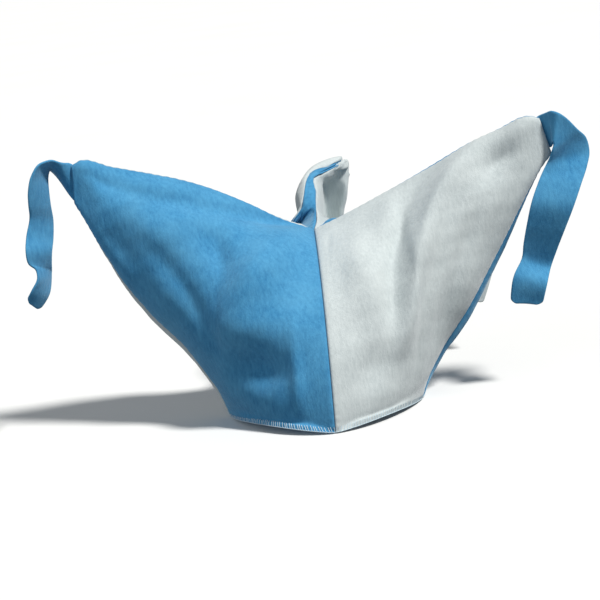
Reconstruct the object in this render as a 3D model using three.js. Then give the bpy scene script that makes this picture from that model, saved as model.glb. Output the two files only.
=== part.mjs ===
import * as THREE from "three";

// Jester hat of brushed fleece: three limp horns, each sewn from a blue and a white half
// panel, with a plain strip of the same cloth sewn into the end of every horn.
// Sizes are in millimetres. +Z is up, the face side looks along -Y, +X is the right-hand
// side for someone who looks at the front. The brim stands on the plane z = 0.

// Driving sizes.
const brimHalfWidth = 85;
const brimHalfDepth = 102;
const crownHeight = 149;
const crownAside = 5.5;
const crownBack = 10;
const sideReach = 197;
const backReach = 154;
const tipHeightAboveBrim = 232;
const frontPoint = 1.12; // 1 gives an oval brim, more draws the face side to a blunt point
const clothThickness = 2.4;
const seamGap = 0.3;
const tailWidth = 31;
const tailThickness = 2.2;
const foldDepth = 5;
const tipHalfThickness = clothThickness + seamGap + tailThickness / 2 + 0.7;

// Mesh density of a panel: columns along the brim, columns along the horn, rows upwards.
const brimColumns = 8;
const hornColumns = { left: 14, right: 14, back: 24 };
const panelRows = 14;

const up = new THREE.Vector3(0, 0, 1);
const crown = new THREE.Vector3(crownAside, crownBack, crownHeight);

function named(columnNames, rows) {
  return rows.map((row) => Object.fromEntries(columnNames.map((name, k) => [name, row[k]])));
}

// Smooth curve through the rows of a table, read at x of its key column.
function smooth(rows, key, column, x) {
  const last = rows.length - 1;
  let k = 0;
  while (k < last - 1 && x > rows[k + 1][key]) {
    k += 1;
  }
  const slopeBetween = (a, b) => (rows[b][column] - rows[a][column]) / (rows[b][key] - rows[a][key]);
  const slopeAt = (n) => {
    if (n === 0) return slopeBetween(0, 1);
    if (n === last) return slopeBetween(last - 1, last);
    const before = rows[n][key] - rows[n - 1][key];
    const after = rows[n + 1][key] - rows[n][key];
    return (slopeBetween(n - 1, n) * after + slopeBetween(n, n + 1) * before) / (before + after);
  };
  const width = rows[k + 1][key] - rows[k][key];
  const t = (x - rows[k][key]) / width;
  const low = rows[k][column];
  const high = rows[k + 1][column];
  const bend = slopeAt(k) * width * t * (1 - t) ** 2 - slopeAt(k + 1) * width * t * t * (1 - t);
  return low + (high - low) * t * t * (3 - 2 * t) + bend;
}

// A seam line is a table of points; share runs from 0 at its start to 1 at its end.
function seamLine(points) {
  let travelled = 0;
  const rows = points.map((point, k) => {
    travelled += k ? point.distanceTo(points[k - 1]) : 0;
    return { x: point.x, y: point.y, z: point.z, travelled };
  });
  rows.forEach((row) => {
    row.share = row.travelled / travelled;
  });
  return (share) =>
    new THREE.Vector3(
      smooth(rows, "share", "x", share),
      smooth(rows, "share", "y", share),
      smooth(rows, "share", "z", share),
    );
}

// Rows of shares: aside of a horn's reach, back of the brim's half depth, height of the tips.
function pointsOf(rows, reach = sideReach, depth = brimHalfDepth) {
  return named(["aside", "back", "height"], rows).map(
    (row) =>
      new THREE.Vector3(row.aside * reach, row.back * depth, row.height * tipHeightAboveBrim),
  );
}

// Brim point at an angle from the front, turning towards +X.
function brimPoint(degrees) {
  const angle = THREE.MathUtils.degToRad(degrees);
  const aside = Math.sin(angle);
  const forward = Math.cos(angle);
  const power = forward > 0 ? frontPoint : 1;
  return new THREE.Vector3(
    brimHalfWidth * Math.sign(aside) * Math.abs(aside) ** power,
    -brimHalfDepth * Math.sign(forward) * Math.abs(forward) ** power,
    0,
  );
}

function direction(turn, lift) {
  const a = THREE.MathUtils.degToRad(turn);
  const e = THREE.MathUtils.degToRad(lift);
  return new THREE.Vector3(Math.sin(a) * Math.cos(e), -Math.cos(a) * Math.cos(e), Math.sin(e));
}

// Seams that run down from the crown centre between two horns.
// brim: angle of the seam's foot; bulge as a share of the brim's half depth.
const sectionColumns = ["at", "bulge", "turn", "lift", "full", "edge", "under", "beyond"];
const valleys = {
  front: { brim: 3, row: [0, 0.34, 2, 37, 2.0, 0.9, 0, 0] },
  rightBack: { brim: 128, row: [0, 0.3, 128, 42, 2.0, 0.9, 0, 0] },
  leftBack: { brim: 235, row: [0, 0.3, 235, 42, 2.0, 0.9, 0, 0] },
};

// Horns: the ridge seam from the crown centre and the seam below it from the brim.
const ridgeShareColumns = ["at", "ridge"];
const horns = {
  left: {
    brim: 280,
    ridge: seamLine([
      crown,
      ...pointsOf([
        [-0.071, 0.056, 0.679],
        [-0.232, 0.014, 0.768],
        [-0.432, -0.028, 0.86],
        [-0.635, -0.069, 0.922],
        [-0.796, -0.112, 0.966],
        [-0.945, -0.196, 1.007],
      ]),
    ]),
    under: seamLine([
      brimPoint(280),
      ...pointsOf([
        [-0.467, -0.16, 0.125],
        [-0.592, -0.15, 0.295],
        [-0.727, -0.15, 0.44],
        [-0.843, -0.165, 0.617],
        [-0.929, -0.18, 0.79],
        [-0.959, -0.196, 0.846],
      ]),
    ]),
    shares: named(ridgeShareColumns, [
      [0, 0],
      [0.5, 0.21],
      [1, 0.43],
      [1.5, 0.74],
      [2, 1],
    ]),
  },
  right: {
    brim: 72,
    ridge: seamLine([
      crown,
      ...pointsOf([
        [0.166, 0.056, 0.689],
        [0.413, 0.014, 0.779],
        [0.589, -0.029, 0.848],
        [0.72, -0.069, 0.903],
        [0.85, -0.112, 0.943],
        [1.003, -0.196, 0.986],
      ]),
    ]),
    under: seamLine([
      brimPoint(72),
      ...pointsOf([
        [0.462, -0.22, 0.12],
        [0.573, -0.2, 0.25],
        [0.747, -0.185, 0.473],
        [0.897, -0.185, 0.673],
        [1.005, -0.19, 0.795],
        [1.05, -0.196, 0.832],
      ]),
    ]),
    shares: named(ridgeShareColumns, [
      [0, 0],
      [0.5, 0.18],
      [1, 0.37],
      [1.5, 0.72],
      [2, 1],
    ]),
  },
  back: {
    brim: 183,
    ridge: seamLine([
      crown,
      ...pointsOf(
        [
          [0.045, 0.175, 0.662],
          [0.051, 0.338, 0.711],
          [0.061, 0.468, 0.776],
          [0.122, 0.578, 0.824],
          [0.193, 0.669, 0.838],
          [0.236, 0.812, 0.8],
          [0.239, 0.922, 0.69],
          [0.305, 0.975, 0.6],
          [0.447, 0.987, 0.565],
          [0.589, 0.974, 0.56],
        ],
        sideReach,
        backReach,
      ),
    ]),
    under: seamLine([
      brimPoint(183),
      ...pointsOf(
        [
          [-0.03, 0.695, 0.194],
          [-0.046, 0.682, 0.409],
          [-0.066, 0.63, 0.582],
          [-0.056, 0.59, 0.668],
          [-0.012, 0.6, 0.733],
          [0.045, 0.65, 0.78],
          [0.138, 0.727, 0.824],
          [0.122, 0.896, 0.78],
          [0.092, 1.0, 0.668],
          [0.122, 1.04, 0.543],
          [0.254, 1.04, 0.448],
          [0.558, 1.0, 0.399],
        ],
        sideReach,
        backReach,
      ),
    ]),
    shares: named(ridgeShareColumns, [
      [0, 0],
      [0.5, 0.09],
      [1, 0.19],
      [1.3, 0.3],
      [1.55, 0.45],
      [1.75, 0.66],
      [2, 1],
    ]),
  },
};

// Half panels. at: 0 at the seam from the crown, 1 where the horn's lower seam leaves the
// brim, 2 at the horn's end. bulge: how far the section stands out from its chord, as a
// share of the brim's half depth, towards turn and lift (degrees). full and edge shape the
// section. under and beyond: how far it hangs past the lower seam and past the ridge.
// Folds: where the middle of a fold lies, its length and width in the same units as at,
// its turn in degrees away from the lengthwise direction, its height as a share of foldDepth.
const tipBulge = tipHalfThickness / brimHalfDepth;
const panels = [
  {
    name: "left_front_panel",
    colour: "blue",
    valley: "front",
    horn: "left",
    sections: [
      [0.5, 0.4, -8, 30, 2.0, 0.85, 0, 0],
      [1, 0.44, -8, 4, 2.0, 0.75, 0, 0],
      [1.35, 0.33, -4, 0, 2.1, 0.65, 0, 0],
      [1.7, 0.17, 0, 0, 2.5, 0.55, 0, 0],
      [2, tipBulge, 0, 0, 7, 0.5, 0, 0],
    ],
    folds: [
      [0.9, 0.81, 0.65, 0.08, -7, -0.8],
      [0.45, 0.86, 0.25, 0.07, -6, -0.3],
      [0.4, 0.56, 0.35, 0.15, -3, 0.9],
      [0.55, 0.31, 0.32, 0.09, -5, -0.9],
      [0.87, 0.6, 0.13, 0.12, 0, -0.6],
    ],
  },
  {
    name: "left_back_panel",
    colour: "white",
    valley: "leftBack",
    horn: "left",
    sections: [
      [0.5, 0.42, 222, 24, 2.0, 0.85, 0, 0],
      [1, 0.5, 195, 4, 2.0, 0.7, 0.03, 0],
      [1.35, 0.36, 184, 0, 2.1, 0.6, 0.12, 0],
      [1.7, 0.17, 180, 0, 2.5, 0.55, 0.09, 0],
      [2, tipBulge, 180, 0, 7, 0.5, 0, 0],
    ],
    folds: [
      [1.05, 0.55, 0.35, 0.12, 30, 0.7],
      [0.6, 0.4, 0.25, 0.1, -20, -0.7],
    ],
  },
  {
    name: "right_front_panel",
    colour: "white",
    valley: "front",
    horn: "right",
    sections: [
      [0.5, 0.4, 10, 30, 2.0, 0.85, 0, 0],
      [1, 0.42, 12, 4, 2.0, 0.75, 0, 0],
      [1.35, 0.33, 4, 0, 2.1, 0.65, 0, 0],
      [1.7, 0.17, 0, 0, 2.5, 0.55, 0, 0],
      [2, tipBulge, 0, 0, 7, 0.5, 0, 0],
    ],
    folds: [
      [1.0, 0.6, 0.42, 0.075, 33, 1.1],
      [0.93, 0.7, 0.35, 0.07, 33, -0.6],
      [1.15, 0.42, 0.3, 0.08, 38, -0.8],
      [1.65, 0.68, 0.16, 0.12, -20, -0.5],
    ],
  },
  {
    name: "right_back_panel",
    colour: "blue",
    valley: "rightBack",
    horn: "right",
    sections: [
      [0.5, 0.44, 140, 24, 2.0, 0.85, 0, 0],
      [1, 0.54, 165, 4, 2.0, 0.7, 0.03, 0],
      [1.35, 0.37, 176, 0, 2.1, 0.6, 0.17, 0],
      [1.7, 0.17, 180, 0, 2.5, 0.55, 0.12, 0],
      [2, tipBulge, 180, 0, 7, 0.5, 0, 0],
    ],
    folds: [
      [1.1, 0.5, 0.35, 0.12, 25, -0.8],
      [0.7, 0.62, 0.3, 0.1, 0, 0.6],
    ],
  },
  {
    name: "back_right_panel",
    colour: "white",
    valley: "rightBack",
    horn: "back",
    sections: [
      [0.5, 0.36, 140, 30, 2.0, 0.85, 0, 0],
      [1, 0.4, 118, 8, 2.0, 0.75, 0, 0],
      [1.2, 0.36, 100, 0, 2.0, 0.6, 0, 0.02],
      [1.4, 0.36, 105, -40, 2.2, 0.5, 0.03, 0.05],
      [1.55, 0.26, 60, -70, 2.4, 0.5, 0.08, 0.07],
      [1.62, 0.19, 30, -55, 2.4, 0.5, 0.05, 0.05],
      [1.7, 0.18, -20, -5, 2.4, 0.5, 0.03, 0.03],
      [1.85, 0.12, 0, -5, 2.6, 0.5, 0, 0],
      [2, tipBulge, -5, 0, 7, 0.5, 0, 0],
    ],
    folds: [
      [0.7, 0.38, 0.25, 0.12, 10, -0.7],
    ],
  },
  {
    name: "back_left_panel",
    colour: "blue",
    valley: "leftBack",
    horn: "back",
    sections: [
      [0.5, 0.34, 222, 30, 2.0, 0.85, 0, 0],
      [1, 0.28, 240, 10, 2.0, 0.75, 0, 0],
      [1.2, 0.23, 252, 10, 2.0, 0.8, 0, 0],
      [1.33, 0.15, 262, 30, 2.0, 0.9, 0, 0],
      [1.45, 0.01, 270, 60, 2.0, 1, 0, 0],
      [1.55, -0.04, 230, 80, 2.0, 1, 0, 0],
      [1.7, 0.03, 155, 10, 2.0, 0.8, 0, 0],
      [1.85, 0.1, 175, 0, 2.6, 0.6, 0, 0],
      [2, tipBulge, 175, 0, 7, 0.5, 0, 0],
    ],
    folds: [
      [0.7, 0.4, 0.3, 0.12, -10, 0.6],
    ],
  },
];

function stationOf(i, horn) {
  return i <= brimColumns ? i / brimColumns : 1 + (i - brimColumns) / hornColumns[horn];
}

function sectionRows(panel) {
  return named(sectionColumns, [valleys[panel.valley].row, ...panel.sections]);
}

// Lower edge of a panel: along the brim first, then up the horn's lower seam.
function lowerEdge(panel, at) {
  const horn = horns[panel.horn];
  if (at > 1) return horn.under(at - 1);
  const from = valleys[panel.valley].brim;
  const turn = ((horn.brim - from + 540) % 360) - 180;
  return brimPoint(from + turn * at);
}

function upperEdge(horn, at) {
  return horn.ridge(smooth(horn.shares, "at", "ridge", at));
}

function panelPoint(panel, rows, at, v) {
  const read = (column) => smooth(rows, "at", column, at);
  const low = lowerEdge(panel, at);
  const high = upperEdge(horns[panel.horn], at);
  const chord = high.clone().sub(low);
  const half = chord.length() / 2;
  chord.normalize();
  const out = direction(read("turn"), read("lift"));
  out.addScaledVector(chord, -out.dot(chord)).normalize();
  const angle = Math.PI * v;
  const s = -Math.cos(angle);
  const swell = (1 - Math.abs(s) ** read("full")) ** read("edge");
  const past = v < 0.5 ? -read("under") : read("beyond");
  const along = s * half + past * brimHalfDepth * Math.abs(Math.sin(2 * angle));
  return low
    .add(high)
    .multiplyScalar(0.5)
    .addScaledVector(chord, along)
    .addScaledVector(out, Math.max(0, swell) * read("bulge") * brimHalfDepth);
}

// Height of the folds and dents of a panel over its plain surface.
function foldHeight(folds, at, v) {
  return folds.reduce((sum, fold) => {
    const turn = THREE.MathUtils.degToRad(fold.turn);
    const a = at - fold.at;
    const b = v - fold.v;
    const along = (a * Math.cos(turn) + b * Math.sin(turn)) / fold.length;
    const across = (b * Math.cos(turn) - a * Math.sin(turn)) / fold.width;
    return sum + fold.height * foldDepth * Math.exp(-along * along - across * across);
  }, 0);
}

function gridNormals(grid, facing) {
  return grid.map((column, i) =>
    column.map((point, j) => {
      const a = grid[Math.min(i + 1, grid.length - 1)][j].clone().sub(grid[Math.max(i - 1, 0)][j]);
      const b = column[Math.min(j + 1, column.length - 1)].clone().sub(column[Math.max(j - 1, 0)]);
      return a.cross(b).multiplyScalar(facing).normalize();
    }),
  );
}

// Evens out a panel lengthwise; its seams, its brim and its end stay where they are.
const eveningPasses = 10;
const eveningShare = 0.5;
const eveningEnd = 1.3;
const eveningFade = 0.3;

function evenedOut(grid, horn) {
  let current = grid;
  for (let pass = 0; pass < eveningPasses; pass += 1) {
    current = current.map((column, i) =>
      column.map((point, j) => {
        const strength = Math.min(1, (eveningEnd - stationOf(i, horn)) / eveningFade);
        if (i === 0 || strength <= 0 || j === 0 || j === panelRows) return point.clone();
        const between = current[i - 1][j].clone().add(current[i + 1][j]).multiplyScalar(0.5);
        return point.clone().lerp(between, eveningShare * strength);
      }),
    );
  }
  return current;
}

// Directions averaged with their neighbours, so that the inner layer stays smooth in tight curls.
const softeningPasses = 4;

function softened(directions) {
  let current = directions;
  for (let pass = 0; pass < softeningPasses; pass += 1) {
    current = current.map((column, i) =>
      column.map((vector, j) => {
        const sum = vector.clone().multiplyScalar(2);
        sum.add(current[Math.max(i - 1, 0)][j]);
        sum.add(current[Math.min(i + 1, current.length - 1)][j]);
        sum.add(column[Math.max(j - 1, 0)]);
        sum.add(column[Math.min(j + 1, column.length - 1)]);
        return sum.normalize();
      }),
    );
  }
  return current;
}

const foldColumns = ["at", "v", "length", "width", "turn", "height"];
for (const panel of panels) {
  const rows = sectionRows(panel);
  const folds = named(foldColumns, panel.folds);
  const sections = [];
  for (let i = 0; i <= brimColumns + hornColumns[panel.horn]; i += 1) {
    sections.push([]);
    for (let j = 0; j <= panelRows; j += 1) {
      sections[i].push(panelPoint(panel, rows, stationOf(i, panel.horn), j / panelRows));
    }
  }
  const plain = evenedOut(sections, panel.horn);
  const middle = gridNormals(plain, 1)[2][panelRows / 2];
  const outward = plain[2][panelRows / 2].clone().setZ(0);
  panel.facing = Math.sign(middle.dot(outward));
  const normals = gridNormals(plain, panel.facing);
  panel.grid = plain.map((column, i) =>
    column.map((point, j) => {
      const v = j / panelRows;
      const at = stationOf(i, panel.horn);
      const fade = Math.sin(Math.PI * v) * Math.min(1, 4 * at) * Math.min(1, 4 * (2 - at));
      return point.addScaledVector(normals[i][j], fade * foldHeight(folds, at, v));
    }),
  );
  panel.normals = gridNormals(panel.grid, panel.facing);
}

// A seam holds, for each of its points, the way into the cloth and the way across.
function seamOf(points, normalsOfBoth, fixInward) {
  const inward = points.map((point, k) =>
    fixInward(k, normalsOfBoth[0][k].clone().add(normalsOfBoth[1][k]).negate()).normalize(),
  );
  const across = points.map((point, k) => {
    const after = points[Math.min(k + 1, points.length - 1)];
    const before = points[Math.max(k - 1, 0)];
    return after.clone().sub(before).cross(inward[k]).normalize();
  });
  return { points, inward, across };
}

const crownInward = new THREE.Vector3();
panels.forEach((panel) => crownInward.sub(panel.normals[0][panelRows]));
crownInward.normalize();

function panelsWith(key, value) {
  return panels.filter((panel) => panel[key] === value);
}

function levelled(vector) {
  return vector.setZ(0);
}

const valleySeams = {};
for (const name of Object.keys(valleys)) {
  const pair = panelsWith("valley", name);
  valleySeams[name] = seamOf(
    pair[0].grid[0],
    pair.map((panel) => panel.normals[0]),
    (k, sum) => {
      if (k === panelRows) return crownInward.clone();
      return k === 0 ? levelled(sum) : sum;
    },
  );
}

const ridgeSeams = {};
const underSeams = {};
for (const name of Object.keys(horns)) {
  const pair = panelsWith("horn", name);
  ridgeSeams[name] = seamOf(
    pair[0].grid.map((column) => column[panelRows]),
    pair.map((panel) => panel.normals.map((column) => column[panelRows])),
    (k, sum) => (k === 0 ? crownInward.clone() : sum),
  );
  underSeams[name] = seamOf(
    pair[0].grid.slice(brimColumns).map((column) => column[0]),
    pair.map((panel) => panel.normals.slice(brimColumns).map((column) => column[0])),
    (k, sum) => (k === 0 ? levelled(sum) : sum),
  );
}

// The shift that meets three planes at once: each vector is a plane's direction.
function shiftTo(first, second, third, firstAway, secondAway) {
  const rows = new THREE.Matrix3().set(...first.toArray(), ...second.toArray(), ...third.toArray());
  return new THREE.Vector3(firstAway, secondAway, 0).applyMatrix3(rows.invert());
}

// The cloth of a panel: an outer and an inner layer, cut back along its seams.
const cutBack = seamGap / 2;
const guardedRows = 5;
const guardStep = 0.12;

function clothLayers(panel) {
  const outer = panel.grid.map((column) => column.map((point) => point.clone()));
  const outwards = softened(panel.normals);
  const inner = panel.grid.map((column, i) =>
    column.map((point, j) => point.clone().addScaledVector(outwards[i][j], -clothThickness)),
  );
  for (let i = 1; i < brimColumns; i += 1) {
    const inwards = levelled(panel.normals[i][0].clone()).normalize();
    inner[i][0].copy(outer[i][0]).addScaledVector(inwards, -clothThickness);
  }
  const sideOf = (seam, k, inside) =>
    seam.across[k].clone().multiplyScalar(Math.sign(seam.across[k].dot(inside)) || 1);
  const cutAt = (seam, k, side, place) => {
    outer[place[0]][place[1]].copy(seam.points[k]).addScaledVector(side, cutBack);
    inner[place[0]][place[1]]
      .copy(outer[place[0]][place[1]])
      .addScaledVector(seam.inward[k], clothThickness);
  };
  const keepClear = (seam, k, side, place, steps) => {
    const away = inner[place[0]][place[1]].clone().sub(seam.points[k]).dot(side);
    const needed = cutBack + guardStep * steps;
    if (away < needed) inner[place[0]][place[1]].addScaledVector(side, needed - away);
  };
  const sew = (seam, placeOf) => {
    const sides = [];
    for (let k = 0; k < seam.points.length; k += 1) {
      const [i, j] = placeOf(k, 2);
      const inside = panel.grid[i][j].clone().sub(seam.points[k]);
      sides.push(sideOf(seam, k, inside));
      for (let steps = 1; steps <= guardedRows; steps += 1) {
        keepClear(seam, k, sides[k], placeOf(k, steps), steps);
      }
      cutAt(seam, k, sides[k], placeOf(k, 0));
    }
    return sides;
  };
  const valley = valleySeams[panel.valley];
  const ridge = ridgeSeams[panel.horn];
  const under = underSeams[panel.horn];
  const ridgeSides = sew(ridge, (k, steps) => [k, panelRows - steps]);
  const underSides = sew(under, (k, steps) => [k + brimColumns, steps]);
  const valleySides = sew(valley, (k, steps) => [steps, k]);

  const corner = (place, seam, k, shift) => {
    outer[place[0]][place[1]].copy(seam.points[k]).add(shift);
    inner[place[0]][place[1]]
      .copy(outer[place[0]][place[1]])
      .addScaledVector(seam.inward[k], clothThickness);
  };
  const top = shiftTo(valleySides[panelRows], ridgeSides[0], crownInward, cutBack, cutBack);
  corner([0, panelRows], ridge, 0, top);
  corner([0, 0], valley, 0, shiftTo(valleySides[0], up, valley.inward[0], cutBack, 0));
  corner([brimColumns, 0], under, 0, shiftTo(underSides[0], up, under.inward[0], cutBack, 0));
  return { outer, inner };
}

// A closed body from two layers of the same grid.
function bodyOf(layers, facing) {
  const across = layers.outer[0].length;
  const long = layers.outer.length;
  const positions = [];
  const index = [];
  [layers.outer, layers.inner].forEach((layer) =>
    layer.forEach((column) => column.forEach((point) => positions.push(...point.toArray()))),
  );
  const outerAt = (i, j) => i * across + j;
  const innerAt = (i, j) => long * across + i * across + j;
  const face = (a, b, c) => index.push(...(facing > 0 ? [a, b, c] : [a, c, b]));
  const four = (a, b, c, d) => {
    face(a, b, c);
    face(a, c, d);
  };
  for (let i = 0; i < long - 1; i += 1) {
    for (let j = 0; j < across - 1; j += 1) {
      const here = layers.outer[i][j].distanceTo(layers.outer[i + 1][j + 1]);
      const other = layers.outer[i + 1][j].distanceTo(layers.outer[i][j + 1]);
      const ring = [
        [i, j],
        [i + 1, j],
        [i + 1, j + 1],
        [i, j + 1],
      ];
      if (here > other) ring.push(ring.shift());
      four(...ring.map((place) => outerAt(...place)));
      four(...ring.map((place) => innerAt(...place)).reverse());
    }
  }
  for (let i = 0; i < long - 1; i += 1) {
    four(outerAt(i, 0), innerAt(i, 0), innerAt(i + 1, 0), outerAt(i + 1, 0));
    four(outerAt(i + 1, across - 1), innerAt(i + 1, across - 1), innerAt(i, across - 1), outerAt(i, across - 1));
  }
  for (let j = 0; j < across - 1; j += 1) {
    four(outerAt(0, j + 1), innerAt(0, j + 1), innerAt(0, j), outerAt(0, j));
    four(outerAt(long - 1, j), innerAt(long - 1, j), innerAt(long - 1, j + 1), outerAt(long - 1, j + 1));
  }
  const geometry = new THREE.BufferGeometry();
  geometry.setAttribute("position", new THREE.Float32BufferAttribute(positions, 3));
  geometry.setIndex(index);
  geometry.computeVertexNormals();
  return geometry;
}

// Strips sewn into the ends of the horns. Centre line as shares of the horn's reach, the
// brim's half depth and the height of the tips; turn and tilt (degrees) lay the width
// of the strip; width is a share of the full width.
const tailColumns = ["aside", "back", "height", "turn", "tilt", "width"];
const tails = [
  {
    name: "left_tail",
    colour: "blue",
    depth: brimHalfDepth,
    rows: [
      [-0.925, -0.196, 0.922, 0, 86, 0.86],
      [-0.955, -0.196, 0.926, 0, 86, 0.86],
      [-0.972, -0.199, 0.928, 4, 85, 0.86],
      [-1.0, -0.21, 0.95, 14, 74, 0.92],
      [-1.025, -0.225, 0.96, 24, 56, 0.98],
      [-1.058, -0.26, 0.945, 40, 32, 1],
      [-1.085, -0.295, 0.89, 50, 12, 1],
      [-1.1, -0.31, 0.825, 50, 0, 1],
      [-1.116, -0.29, 0.765, 46, 0, 1],
      [-1.124, -0.265, 0.7, 50, -2, 1],
      [-1.117, -0.28, 0.635, 64, 0, 1],
      [-1.128, -0.32, 0.575, 52, 10, 1],
      [-1.148, -0.335, 0.53, 40, 14, 1],
    ],
  },
  {
    name: "right_tail",
    colour: "blue",
    depth: brimHalfDepth,
    rows: [
      [0.998, -0.196, 0.904, 0, 104, 0.86],
      [1.029, -0.196, 0.909, 0, 104, 0.86],
      [1.07, -0.21, 0.905, 6, 84, 0.94],
      [1.115, -0.235, 0.885, 8, 60, 1],
      [1.135, -0.26, 0.84, 8, 34, 1],
      [1.118, -0.285, 0.775, 6, 6, 1],
      [1.076, -0.3, 0.715, 4, -14, 1],
      [1.02, -0.305, 0.625, 2, -20, 1],
      [0.972, -0.3, 0.54, -4, -20, 1],
      [0.926, -0.29, 0.44, -6, -19, 1],
      [0.873, -0.285, 0.322, -2, -20, 1],
    ],
  },
  {
    name: "back_tail",
    colour: "white",
    depth: backReach,
    rows: [
      [0.545, 0.987, 0.4815, -34, 79, 0.86],
      [0.576, 0.987, 0.4805, -34, 79, 0.86],
      [0.65, 0.978, 0.498, -20, 76, 0.94],
      [0.72, 0.945, 0.52, 0, 58, 1],
      [0.79, 0.895, 0.508, 6, 34, 1],
      [0.822, 0.835, 0.46, 10, 6, 1],
      [0.812, 0.78, 0.4, 8, -14, 1],
      [0.775, 0.742, 0.32, 6, -22, 1],
      [0.716, 0.727, 0.215, 4, -22, 1],
    ],
  },
];

// Cross-section of a strip: a flat bar with its two long edges rounded off.
const stripOutline = [
  [-1, -0.35],
  [-0.95, -1],
  [0.95, -1],
  [1, -0.35],
  [1, 0.35],
  [0.95, 1],
  [-0.95, 1],
  [-1, 0.35],
];
const tailSteps = 18;
const cornerShares = [
  [0.985, 0.97],
  [0.995, 0.9],
  [1, 0.78],
];

function stripOf(tail) {
  const rows = named(tailColumns, tail.rows);
  const places = rows.map(
    (row) =>
      new THREE.Vector3(row.aside * sideReach, row.back * tail.depth, row.height * tipHeightAboveBrim),
  );
  let travelled = 0;
  rows.forEach((row, k) => {
    travelled += k ? places[k].distanceTo(places[k - 1]) : 0;
    row.travelled = travelled;
    row.x = places[k].x;
    row.y = places[k].y;
    row.z = places[k].z;
  });
  rows.forEach((row) => {
    row.share = row.travelled / travelled;
  });
  const centre = (share) =>
    new THREE.Vector3(
      smooth(rows, "share", "x", share),
      smooth(rows, "share", "y", share),
      smooth(rows, "share", "z", share),
    );
  const stations = [];
  for (let k = 0; k < tailSteps; k += 1) {
    stations.push([(0.975 * k) / (tailSteps - 1), 1]);
  }
  stations.push(...cornerShares);
  const positions = [];
  for (const [share, narrowing] of stations) {
    const step = 0.004;
    const ahead = centre(Math.min(1, share + step)).sub(centre(Math.max(0, share - step)));
    ahead.normalize();
    const turn = THREE.MathUtils.degToRad(smooth(rows, "share", "turn", share));
    const tilt = THREE.MathUtils.degToRad(smooth(rows, "share", "tilt", share));
    const wide = new THREE.Vector3(
      Math.cos(turn) * Math.cos(tilt),
      Math.sin(turn) * Math.cos(tilt),
      Math.sin(tilt),
    );
    wide.addScaledVector(ahead, -wide.dot(ahead)).normalize();
    const thick = ahead.clone().cross(wide);
    const halfWidth = (tailWidth / 2) * narrowing * smooth(rows, "share", "width", share);
    for (const [w, t] of stripOutline) {
      const point = centre(share)
        .addScaledVector(wide, w * halfWidth)
        .addScaledVector(thick, (t * tailThickness) / 2);
      positions.push(...point.toArray());
    }
  }
  const around = stripOutline.length;
  const index = [];
  for (let k = 0; k < stations.length - 1; k += 1) {
    for (let n = 0; n < around; n += 1) {
      const a = k * around + n;
      const b = k * around + ((n + 1) % around);
      index.push(a, b, b + around, a, b + around, a + around);
    }
  }
  const lastRing = (stations.length - 1) * around;
  for (let n = 1; n < around - 1; n += 1) {
    index.push(0, n + 1, n, lastRing, lastRing + n, lastRing + n + 1);
  }
  const geometry = new THREE.BufferGeometry();
  geometry.setAttribute("position", new THREE.Float32BufferAttribute(positions, 3));
  geometry.setIndex(index);
  geometry.computeVertexNormals();
  return geometry;
}

const cloths = {
  blue: new THREE.MeshStandardMaterial({ name: "blue_fleece", color: 0x5ea5cf, roughness: 0.95 }),
  white: new THREE.MeshStandardMaterial({ name: "white_fleece", color: 0xd9dddb, roughness: 0.95 }),
};

const hat = new THREE.Group();
hat.name = "jester_hat";

function add(name, geometry, colour) {
  const mesh = new THREE.Mesh(geometry, cloths[colour]);
  mesh.name = name;
  hat.add(mesh);
}

for (const panel of panels) {
  add(panel.name, bodyOf(clothLayers(panel), panel.facing), panel.colour);
}
for (const tail of tails) {
  add(tail.name, stripOf(tail), tail.colour);
}

export default hat;
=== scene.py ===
# %% [markdown]
# # A jester hat of brushed fleece
#
# The hat has three limp horns. Each horn is sewn from two half panels, one blue and one
# white, and the colours change at every seam, so the hat has six panels. A plain strip of
# the same fleece is sewn into the end of each horn. The brim is a raw edge that an overlock
# machine has bound with thread, and the hat rests on it.
#
# The panels are made first as smooth curved grids between their seams, then folded, then
# drawn in along the seams, as real stitching does, and at last given the thickness of the
# cloth.

# %% Frame and tools
import math

import bmesh
import bpy
import numpy as np
from mathutils import Matrix, Vector


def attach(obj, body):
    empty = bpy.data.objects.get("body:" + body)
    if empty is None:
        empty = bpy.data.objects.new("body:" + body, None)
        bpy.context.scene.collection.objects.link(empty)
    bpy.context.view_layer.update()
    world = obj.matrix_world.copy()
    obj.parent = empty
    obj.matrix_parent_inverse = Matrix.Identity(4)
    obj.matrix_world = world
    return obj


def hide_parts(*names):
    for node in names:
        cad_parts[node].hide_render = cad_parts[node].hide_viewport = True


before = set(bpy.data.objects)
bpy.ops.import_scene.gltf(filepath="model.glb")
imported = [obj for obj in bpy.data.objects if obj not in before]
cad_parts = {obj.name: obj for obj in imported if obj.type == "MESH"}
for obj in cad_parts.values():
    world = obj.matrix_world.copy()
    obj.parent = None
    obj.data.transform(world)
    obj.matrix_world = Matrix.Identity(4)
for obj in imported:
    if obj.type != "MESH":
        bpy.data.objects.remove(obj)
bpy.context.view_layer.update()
print("nodes:", sorted(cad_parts))

MM = 0.001

# %% [markdown]
# ## Camera
#
# A camera is a place, a direction and a lens. The photograph looks at the hat from a little
# above, and the hat leans a few degrees in the picture, so the camera is rolled by that
# angle. The lens is long, because the picture has little perspective.

# %% Camera
view_down = math.radians(12.0)
view_roll = math.radians(6.5)
camera_place = Vector((-13.24, -1448.73, 398.86)) * MM
focal_pixels = 1744.0
picture_pixels = 600.0

forward = Vector((0.0, math.cos(view_down), -math.sin(view_down)))
level = Vector((1.0, 0.0, 0.0))
rising = Vector((0.0, math.sin(view_down), math.cos(view_down)))
picture_right = level * math.cos(view_roll) - rising * math.sin(view_roll)
picture_up = level * math.sin(view_roll) + rising * math.cos(view_roll)

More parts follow.
